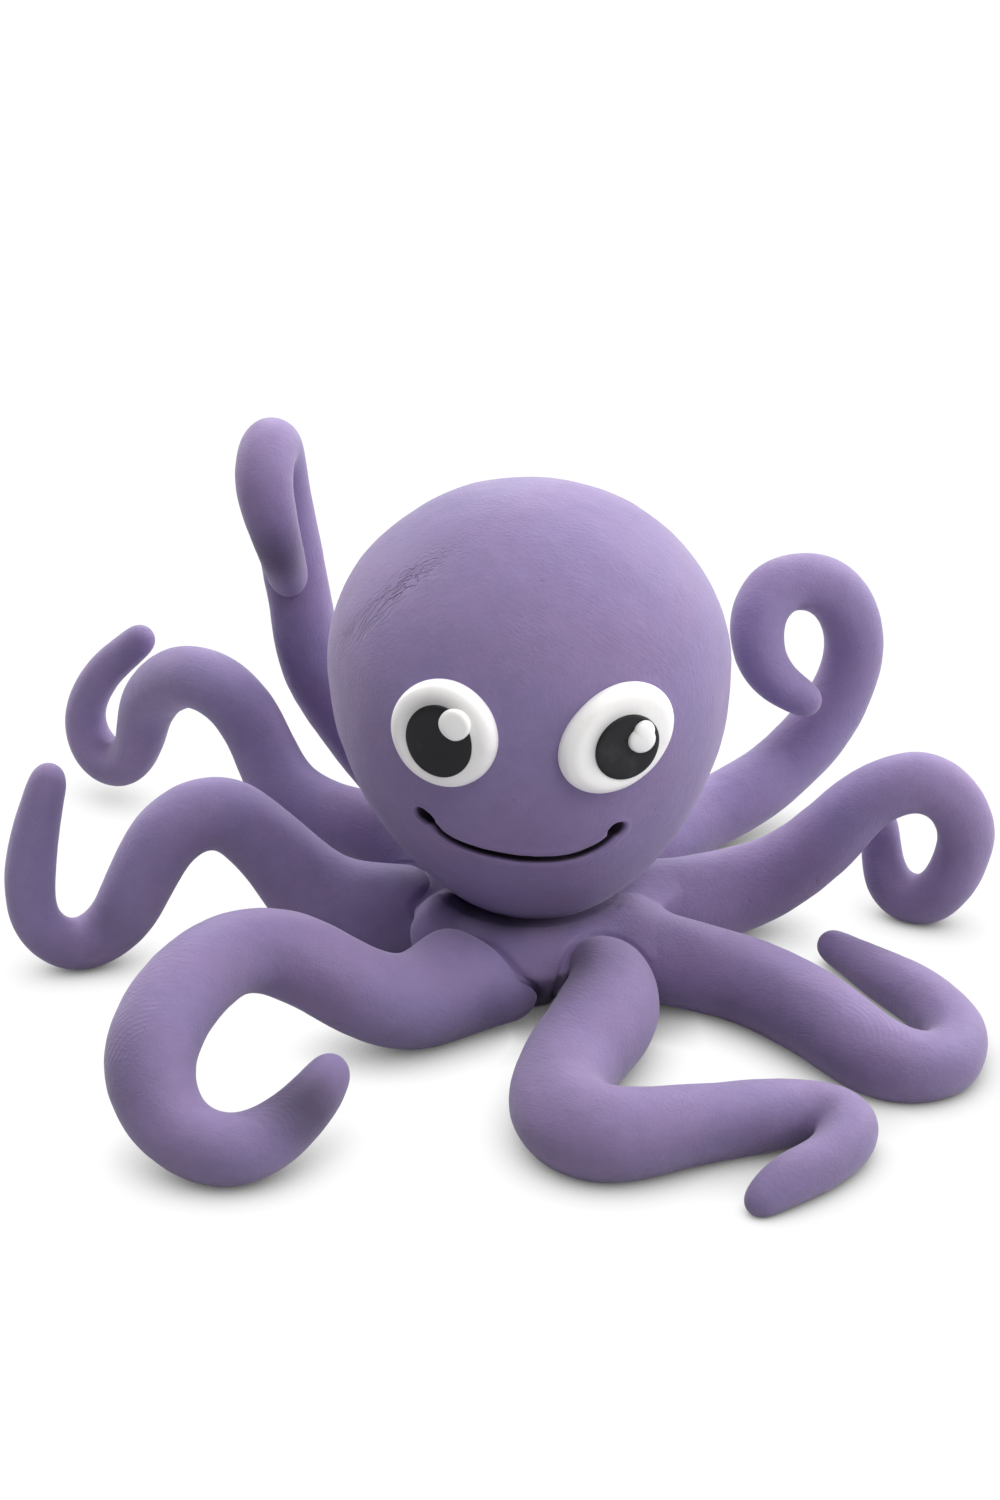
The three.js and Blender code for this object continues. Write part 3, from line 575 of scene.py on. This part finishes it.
# Skirt: along each ray from the middle of the hub, the way to the skirt is walked by the distance left to it.
# The grid is then kneaded, notched beside the arms that are kept apart, and pressed in by the head and the tile.
def skirtPiece():
    turn = np.linspace(0, 2 * np.pi, skirt["columns"], endpoint=False)
    climb = np.radians(spans(skirt["climbs"], skirt["rows"], True))
    up, around = np.meshgrid(climb, turn, indexing="ij")
    rays = np.stack([np.cos(up) * np.cos(around), np.cos(up) * np.sin(around), np.sin(up)], -1)
    middle = np.array(skirt["middle"])
    reach = np.ones(up.shape)
    for walk in range(skirt["walks"]):
        reach = reach - skirt["stride"] * skirtDistance(middle + rays * reach[..., None])
    grid = middle + rays * reach[..., None]
    push = layered(grid, arms["kneading"])
    for name in skirt["apart"]:
        push -= seamNotch(fingerDistance(grid, name, 0.0))
    press, toHead = headPress(grid)
    push -= press
    grid = grid + gridNormals(grid) * push[..., None]
    pressFlat(grid, skirt["tileSoftness"])
    # painted shade: a dark band at the head's seat and low on the apron in front
    seatShade = skirt["seatShade"] * (1 - eased(toHead, *skirt["seatReach"]))
    low = (grid[..., 1] < 0) * (1 - eased(grid[..., 2], *skirt["apronHeights"]))
    apronShade = skirt["apronShade"] * (bell(grid[..., 0], *skirt["apron"]) * low)
    return claySurface("skirt", grid, {"cut": np.maximum(seatShade, apronShade)})


settle(skirtPiece(), "hub", skirtClay)
print("skirt shaped")


# Distance to a row of balls that melt together, and the way out: minus the log of the sum of the exponentials
# of the distances to their skins, each weighed so that a straight row keeps its girth.
def meltedDistance(points, centres, radii):
    gap = arms["ballStep"] * arms["ringGap"]
    total, slope = np.zeros(points.shape[:-1]), np.zeros(points.shape)
    for centre, radius in zip(centres, radii):
        off = points - centre
        far = np.linalg.norm(off, axis=-1)
        share = gap / np.sqrt(2 * np.pi * radius * arms["melt"]) * np.exp((radius - far) / arms["melt"])
        total += share
        slope += (share / far)[..., None] * off
    return -arms["melt"] * np.log(total), unit(slope)


# An arm's first shape: a circle carried along the centreline, rounded off at both ends and squeezed on the inside
# of tight bends. Its spokes point out of each ring, which has a way along the arm and a radius.
def armSweep(name):
    path, girth, steps = armLines[name]
    tangent = unit(np.gradient(path, axis=0))
    axis = np.linalg.svd(path - path.mean(axis=0), full_matrices=False)[2][2]  # square to the plane of the curl
    side = unit(np.cross(tangent, axis))
    over = np.cross(side, tangent)
    bend = np.gradient(tangent, axis=0) / np.gradient(steps)[:, None]
    cap = np.linspace(0, np.pi / 2, arms["tipRings"], endpoint=False)[1:]
    root, tip, back = girth[0] / 2, girth[-1] / 2, cap[::-1]
    centres = np.concatenate([path[0] - tangent[0] * root * np.sin(back)[:, None], path,
                              path[-1] + tangent[-1] * tip * np.sin(cap)[:, None]])
    radii = np.concatenate([root * np.cos(back), girth / 2, tip * np.cos(cap)])
    ends = (len(cap), len(cap))
    side, over = (np.pad(rows, (ends, (0, 0)), "edge") for rows in (side, over))
    bend, along = np.pad(bend, (ends, (0, 0))), np.pad(steps, ends, "edge")
    angle = np.linspace(0, 2 * np.pi, arms["sides"], endpoint=False)
    spokes = side[:, None] * np.cos(angle)[:, None] + over[:, None] * np.sin(angle)[:, None]
    circle = spokes * radii[:, None, None]
    inward = np.sum(circle * bend[:, None], axis=-1)
    excess = inward - blended(inward, arms["bendLimit"], arms["bendBlend"])
    squeeze = excess / np.maximum(np.sum(bend ** 2, axis=-1), 1e-9)[:, None]
    return centres[:, None] + circle - bend[:, None] * squeeze[..., None], spokes, along, radii


# Arm: its first shape is drawn to the skin of melted balls by batches of rings, then kneaded, pressed or swollen in
# patches, notched or run into the skirt, and pressed flat on the tile. Shade is painted in the patches, and darker
# painted shade low towards the tile.
def armPiece(name):
    path, girth, steps = armLines[name]
    grid, normals, along, radii = armSweep(name)
    for rings in np.array_split(np.arange(len(grid)), len(grid) // arms["batch"]):
        near = (steps > along[rings[0]] - arms["meltReach"]) & (steps < along[rings[-1]] + arms["meltReach"])
        balls = np.flatnonzero(near)[::arms["ballStep"]]
        for walk in range(arms["walks"]):
            distance, normals[rings] = meltedDistance(grid[rings], path[balls], girth[balls] / 2)
            grid[rings] -= arms["stride"] * normals[rings] * distance[..., None]
    share = np.where(along < arms["kneadFull"], 1, radii / radii.max() + arms["kneadTip"])
    push = layered(grid, arms["kneading"]) * np.minimum(share, 1)[:, None]
    root = slice(0, np.searchsorted(along, arms["rootReach"]))
    if name in skirt["apart"]:
        push[root] -= seamNotch(skirtDistance(grid[root]))
    else:
        toHub, blend = hubDistance(grid[root]), skirt["fingerBlend"]
        swell = blend * np.logaddexp(0, -np.abs(toHub) / blend) * eased(toHub, *skirt["fingerSwell"])
        push[root] += swell - skirt["fingerUnder"] * (1 - eased(toHub, *skirt["fingerFade"]))
    push[root] -= headPress(grid[root])[0]
    # painted shade in the patches
    patchShade = np.zeros(grid.shape[:2])
    for patched, middle, reach, deep, dark in arms["patches"]:
        if name == patched:
            patch = bell(wayTo(grid, middle), 0, reach)
            push -= deep * patch
            patchShade = np.maximum(patchShade, dark * patch)
    grid = grid + normals * push[..., None]
    pressFlat(grid, arms["tileSoftness"])
    # painted shade, darker low towards the tile
    low = arms["lowShade"] * (1 - eased(grid[..., 2], *arms["lowHeights"])) * eased(along, *arms["lowStart"])[:, None]
    ends = [2 * grid[k].mean(axis=0) - grid[n].mean(axis=0) for k, n in ((0, 1), (-1, -2))]
    return claySurface("arm_" + name + "_clay", grid, {"cut": np.maximum(patchShade, low)}, ends)


for name in armNames:
    settle(armPiece(name), "arm_" + name, armClay)
print("arms rolled")


# Point of the egg at a bearing from the front and a height from its widest ring.
def headPoint(bearing, height):
    turn, radius = np.radians(bearing), eggRadius(height)
    return np.stack([radius * np.sin(turn), -radius * np.cos(turn), height + 0 * turn], -1)


# Offset of each point from the nearest of a row of points, the length of it and that one's place in the row.
def nearestOf(points, row):
    best = np.full(points.shape[:-1], 1e9)
    pick = np.zeros(points.shape[:-1], int)
    for index, place in enumerate(row):
        distance = wayTo(points, place)
        closer = distance < best
        best[closer], pick[closer] = distance[closer], index
    return points - row[pick], best, pick


# Heights and bearings of the head's grid, closest together across the face and over the band of the smile.
def headRows():
    bearing = spans(head["bearings"], head["columns"], False)
    band = np.arccos(-np.array(head["smileBand"]) / head["drop"])
    level = -np.cos(spans((head["poleGap"], *band, np.pi - head["poleGap"]), head["rows"], True))
    return np.meshgrid(np.where(level < 0, level * head["drop"], level * head["rise"]), bearing, indexing="ij")


# Smile: the lip is a bell curve of the way to the needle's line, and the cut eases in towards the line and
# towards the short row in the middle of each pit.
def smileCut(points):
    rows = np.array(head["smile"])
    line = splinePath(headPoint(rows[:, 0], rows[:, 1]), head["smileSpan"])
    line[:, 2] += layered(line, head["smileWaver"])
    gap = nearestOf(points, line)[1]
    cut = head["cutDepth"] * (1 - eased(gap, *head["cut"]))
    inner, outer = head["pitEdges"]
    for start, end, wide, deep in head["pits"]:
        row = np.linspace(headPoint(*np.array(start)), headPoint(*np.array(end)), head["pitSteps"])
        cut = np.maximum(cut, deep * (1 - eased(nearestOf(points, row)[1], wide * inner, wide * outer)))
    return head["lip"] * bell(gap, *head["lipRing"]), cut


# Thumb crease: folds side by side, each a bell curve of the way downhill from the crease's line, which fade by a
# power of a sine towards its ends and by a bell curve beyond them. The clay is torn along it.
def thumbCrease(points):
    line = splinePath(np.array(head["crease"]) - [0, 0, head["middle"]], head["creaseSpan"])
    off, far, pick = nearestOf(points, line)
    aside = off @ np.array(head["downhill"])
    beyond = far ** 2 - aside ** 2
    share = np.clip(pick / (len(line) - 1), *head["creaseEnds"])
    fade = np.sin(np.pi * share) ** head["creasePower"] * np.exp(-beyond / head["creaseFade"])
    folds = sum(height * bell(aside, middle, width) for height, middle, width in head["folds"])
    return fade * folds, fade * bell(aside, *head["torn"])


# Head: the egg is kneaded, lipped, creased and cut by a needle that goes in level, then leans sideways by a
# square of its height.
def headPiece():
    tall, around = headRows()
    grid = headPoint(around, tall)
    push = layered(grid, head["kneading"])
    middle, half = head["face"]
    face = (np.abs(tall - middle) < half) & (np.cos(np.radians(around)) > head["faceCosine"])
    cut = np.zeros(grid.shape[:2])
    lip, cut[face] = smileCut(grid[face])
    push[face] += lip
    folds, torn = thumbCrease(grid)
    push += folds
    level = unit(grid * np.array([1, 1, 0]))
    grid = grid + gridNormals(grid) * push[..., None] - level * cut[..., None]
    share = eggShare(grid[..., 2])
    start, slope, curve = head["lean"]
    grid[..., 0] += start + slope * share + curve * share ** 2
    grid[..., 2] += head["middle"]
    # the cut also paints shade, nearly black, in the smile's groove and pits
    return claySurface("head_clay", grid, {"torn": torn, "cut": cut})


settle(headPiece(), "head", headClay)
print("head modelled")


# Eyes. Sizes and shifts are in hundredths of the head's width: across, tall and roll of an oval, right and up of
# the gaze, and across, tall, right and up of a glint's dab. A profile's rows are share of the radius and height
# in millimetres. The side of the pupil given after the gaze is where the dish's shade is painted on the white.
eyes = {
    "left": {"bearing": -24.5, "height": 2.6, "white": (27.4, 26.6, 0), "pupil": (17.3, 18.4, 0),
             "gaze": (0.1, -0.6), "dishShade": (-0.35, 0.94), "glints": [(8.1, 7.7, 4.5, 4.9)]},
    "right": {"bearing": 24.4, "height": 1.4, "white": (31.2, 25.3, 28), "pupil": (17.0, 16.7, 0),
              "gaze": (1.2, -1.2), "dishShade": (-0.8, 0.6), "glints": [(6.9, 6.5, 4.6, 0.45), (5.3, 5.0, 5.2, 2.75)]},
    "rim": [(0.86, -0.7), (0.965, -0.1), (1.0, 0.5), (0.985, 1.0), (0.92, 1.42), (0.80, 1.66), (0.62, 1.70),
            (0.40, 1.66), (0.2, 1.64), (0.03, 1.63)],
    "pupilRim": [(0.90, -0.5), (0.985, -0.08), (1.0, 0.08), (0.97, 0.22), (0.86, 0.34), (0.6, 0.44), (0.3, 0.48),
                 (0.03, 0.49)],
    "glintRim": [(0.86, -0.4), (0.98, 0.0), (1.0, 0.22), (0.96, 0.42), (0.82, 0.58), (0.55, 0.68), (0.28, 0.72),
                 (0.03, 0.73)],
    "face": 1.63, "skinShare": 0.9, "dish": 0.95, "dishWidth": 3.5, "crown": 0.36, "crownFall": 0.25,
    "crownEdges": (1.5, 3.4), "dishShadeWidth": 0.24, "kneading": [(0.03, 1.9, 7.7)], "columns": 120, "perSpan": 7,
}


# Eye disc: a profile of radius share and height is carried round an outline, on the surface that carries it.
def discGrid(outline, middle, profile, under):
    line = splinePath(np.array(profile), eyes["perSpan"])
    flat = middle + outline[None] * line[:, None, :1]
    return np.concatenate([flat, (under(flat) + line[:, None, 1])[..., None]], -1)


# Outline of one or two oval dabs: along each ray from the first one's middle, the furthest way out of either,
# the larger root of a square equation.
def dabOutline(dabs, rays):
    reach = np.zeros(len(rays))
    for wide, high, right, up in dabs:
        half = np.array([wide, high]) / 2
        off, way = (dabs[0, 2:] - [right, up]) / half, rays / half
        a, b, c = np.sum(way ** 2, -1), np.sum(way * off, -1), np.sum(off ** 2) - 1
        root = b ** 2 - a * c
        reach = np.maximum(reach, np.where(root > 0, (np.sqrt(np.maximum(root, 0)) - b) / a, 0))
    return rays * reach[:, None]


# The three discs of an eye, worked out on the plane that touches the head at the eye's seat: the white is dished
# by a bell curve under the pupil, the pupil lies in the dish and the glint on the pupil's crown.
def eyePieces(sideName):
    make = eyes[sideName]
    size = head["width"] / 100
    angle = np.linspace(0, 2 * np.pi, eyes["columns"], endpoint=False)
    rays = np.stack([np.cos(angle), np.sin(angle)], -1)
    turn = np.radians(make["bearing"])
    outward = np.array([np.sin(turn), -np.cos(turn), 0.0])
    across = np.array([np.cos(turn), np.sin(turn), 0.0])
    seatHeight = make["height"] * size
    seatRadius = eggRadius(np.array(seatHeight))
    seat = outward * seatRadius + np.array([head["lean"][0], 0, seatHeight + head["middle"]])
    gaze = np.array(make["gaze"]) * size

    # an ellipse, turned by its roll
    def oval(wide, tall, roll):
        spin = np.radians(roll)
        ring = rays * np.array([wide, tall]) * size / 2
        return ring @ np.array([[np.cos(spin), np.sin(spin)], [-np.sin(spin), np.cos(spin)]])

    # most of the way that the head's skin falls back from the plane, and the dish
    def dished(flat):
        radius = eggRadius(seatHeight + flat[..., 1])
        skin = eyes["skinShare"] * (np.sqrt(np.maximum(radius ** 2 - flat[..., 0] ** 2, 0)) - seatRadius)
        return skin - eyes["dish"] * bell(wayTo(flat, gaze), 0, eyes["dishWidth"])

    # the white's face, on which the pupil lies
    def pupilFloor(flat):
        return dished(flat) + eyes["face"]

    # the pupil's crown, which eases down to its rim
    def pupilTop(flat):
        return pupilFloor(flat) + eyes["crown"] - eyes["crownFall"] * eased(wayTo(flat, gaze), *eyes["crownEdges"])

    dabs = np.array(make["glints"]) * size
    for node, outline, middle, profile, under, slot, finish in (
            ("eye_white_", oval(*make["white"]), np.zeros(2), eyes["rim"], dished, "white_clay", whiteClay),
            ("pupil_", oval(*make["pupil"]), gaze, eyes["pupilRim"], pupilFloor, "black_clay", charcoalClay),
            ("glint_", dabOutline(dabs, rays), dabs[0, 2:], eyes["glintRim"], pupilTop, "white_clay", whiteClay)):
        grid = discGrid(outline, middle, profile, under)
        solid = grid[..., :1] * across + grid[..., 1:2] * np.array([0, 0, 1.0]) + grid[..., 2:] * outward + seat
        solid = solid + gridNormals(solid) * layered(solid, eyes["kneading"])[..., None]
        # painted shade of the dish on the white beside the pupil
        off = (grid[..., :2] - gaze) / (np.array(make["pupil"][:2]) * size / 2)
        share = np.linalg.norm(off, axis=-1) + 1e-6
        facing = np.clip((off @ np.array(make["dishShade"])) / share, 0, 1)
        dishShade = bell(np.maximum(share - 1, 0), 0, eyes["dishShadeWidth"]) * facing * (node == "eye_white_")
        settle(claySurface(node + sideName + "_clay", solid, {"dishShade": dishShade}), node + sideName, finish)


eyePieces("left")
eyePieces("right")
print("eyes pressed on")


# What the clay hides keeps its CAD solid: crumpled foil, a wooden pick and two wires.
hidden = {"edges": (0.3, 0.7), "roughSwing": 0.2, "dull": 0.8,
          "foil": {"tint": (0.75, 0.76, 0.78), "roughness": 0.22, "noise": (1.6, 4.0, 0.6), "height": 0.25},
          "wire": {"tint": (0.42, 0.42, 0.44), "roughness": 0.25, "noise": (0.3, 4.0, 0.6), "height": 0.02},
          "pick": {"dark": (0.36, 0.22, 0.10, 1), "pale": (0.58, 0.41, 0.22, 1), "roughness": 0.55,
                   "grain": (0.4, 6.0, 4.0), "height": 0.05}}


# Metal: noise takes its tint to a duller one, roughens it and crumples it.
def metalFinish(name, make):
    finish, wire = openFinish(name)
    noise = speckle(wire.objectPlace(), *make["noise"])
    dull = tuple(hidden["dull"] * level for level in make["tint"])
    closeFinish(wire, {"Base Color": noise.step(*hidden["edges"]).mix((*make["tint"], 1), (*dull, 1)),
                       "Roughness": noise * hidden["roughSwing"] + make["roughness"],
                       "Metallic": 1.0}, noise * make["height"])
    return finish


# Wood: strokes of grain along the pick, which stands upright.
def pickFinish(name, make):
    finish, wire = openFinish(name)
    grain = strokes(wire.objectPlace(), (0, 0, 0), *make["grain"])
    closeFinish(wire, {"Base Color": grain.step(*hidden["edges"]).mix(make["dark"], make["pale"]),
                       "Roughness": grain * hidden["roughSwing"] + make["roughness"]}, grain * make["height"])
    return finish


wireFinish = metalFinish("craftWire", hidden["wire"])
for node, finish in (("foil_core", metalFinish("crumpledFoil", hidden["foil"])),
                     ("neck_pick", pickFinish("pickWood", hidden["pick"])),
                     ("wire_right_back", wireFinish), ("wire_back_left", wireFinish)):
    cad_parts[node].data.materials.clear()
    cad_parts[node].data.materials.append(finish)
print("hidden pieces finished")


# Stage: a pale floor in a white room, lit from above and by soft panels, the strongest behind and to the right.
# A panel is bearing, climb and watts. The floor looks whiter than it lights the clay.
stage = {"half": 3.0, "glow": 1.0, "seen": 0.02, "bounce": 0.65, "roughness": 0.9, "room": 0.01,
         "shade": (-0.1, 0.92), "shadeReach": 5.0, "shadeSamples": 12,
         "panelSize": 0.35, "panelWay": 0.8, "panelAim": (0, 0, 0.02),
         "panels": [(90, 90, 1.8), (90, 55, 1.8), (135, 55, 1.59), (180, 55, 0.37), (270, 55, 1.22), (315, 55, 1.59),
                    (0, 22, 2.86), (45, 22, 3.5), (90, 22, 1.8), (135, 22, 2.28), (315, 22, 0.42)]}


# Opaque grey of a level.
def grey(level):
    return (level, level, level, 1)


# Floor: a square that glows to the camera, with contact shadows painted into the glow where the clay closes it in, and
# is a plain grey to other light.
def paleFloor():
    half = stage["half"]
    mesh = bpy.data.meshes.new("floor")
    mesh.from_pydata([(-half, -half, 0), (half, -half, 0), (half, half, 0), (-half, half, 0)], [], [(0, 1, 2, 3)])
    floor = bpy.data.objects.new("floor", mesh)
    scene.collection.objects.link(floor)
    finish, wire = openFinish("paleFloor")
    looked = wire.node("ShaderNodeLightPath", out="Is Camera Ray")
    # painted shadow: ambient occlusion dims the glow near the clay
    clear = wire.node("ShaderNodeAmbientOcclusion", {"samples": stage["shadeSamples"]},
                      {"Distance": stage["shadeReach"] * mm}, "AO")
    paintedShadow = clear.step(*stage["shade"]).mix(grey(0), grey(stage["glow"]))
    closeFinish(wire, {"Base Color": looked.mix(grey(stage["bounce"]), grey(stage["seen"])),
                       "Emission Color": looked.mix(grey(0), paintedShadow), "Emission Strength": 1.0,
                       "Roughness": stage["roughness"], "Specular IOR Level": 0.0})
    mesh.materials.append(finish)


# Panel: a disc of light at a bearing and a climb from the stage's middle, turned to face it.
def softPanel(bearing, climb, watts):
    turn, rise = np.radians(bearing), np.radians(climb)
    way = Vector((np.cos(turn) * np.cos(rise), np.sin(turn) * np.cos(rise), np.sin(rise)))
    light = bpy.data.lights.new("panel", "AREA")
    light.shape = "DISK"
    light.size = stage["panelSize"]
    light.energy = watts
    panel = bpy.data.objects.new("panel", light)
    panel.location = way * stage["panelWay"] + Vector(stage["panelAim"])
    panel.rotation_euler = (-way).to_track_quat("-Z", "Y").to_euler()
    panel.visible_camera = False
    scene.collection.objects.link(panel)


paleFloor()
for row in stage["panels"]:
    softPanel(*row)
room = bpy.data.worlds.new("room")
room.use_nodes = True
room.node_tree.nodes.clear()
roomWire = Wire(room.node_tree)
dim, white = (roomWire.node("ShaderNodeBackground", {}, {"Color": grey(1), "Strength": strength})
              for strength in (stage["room"], 1.0))
looked = roomWire.node("ShaderNodeLightPath", out="Is Camera Ray")
either = roomWire.node("ShaderNodeMixShader", {}, {0: looked, 1: dim, 2: white})
roomWire.node("ShaderNodeOutputWorld", {}, {"Surface": either})
scene.world = room
scene.view_settings.view_transform = "Standard"
print("stage lit")
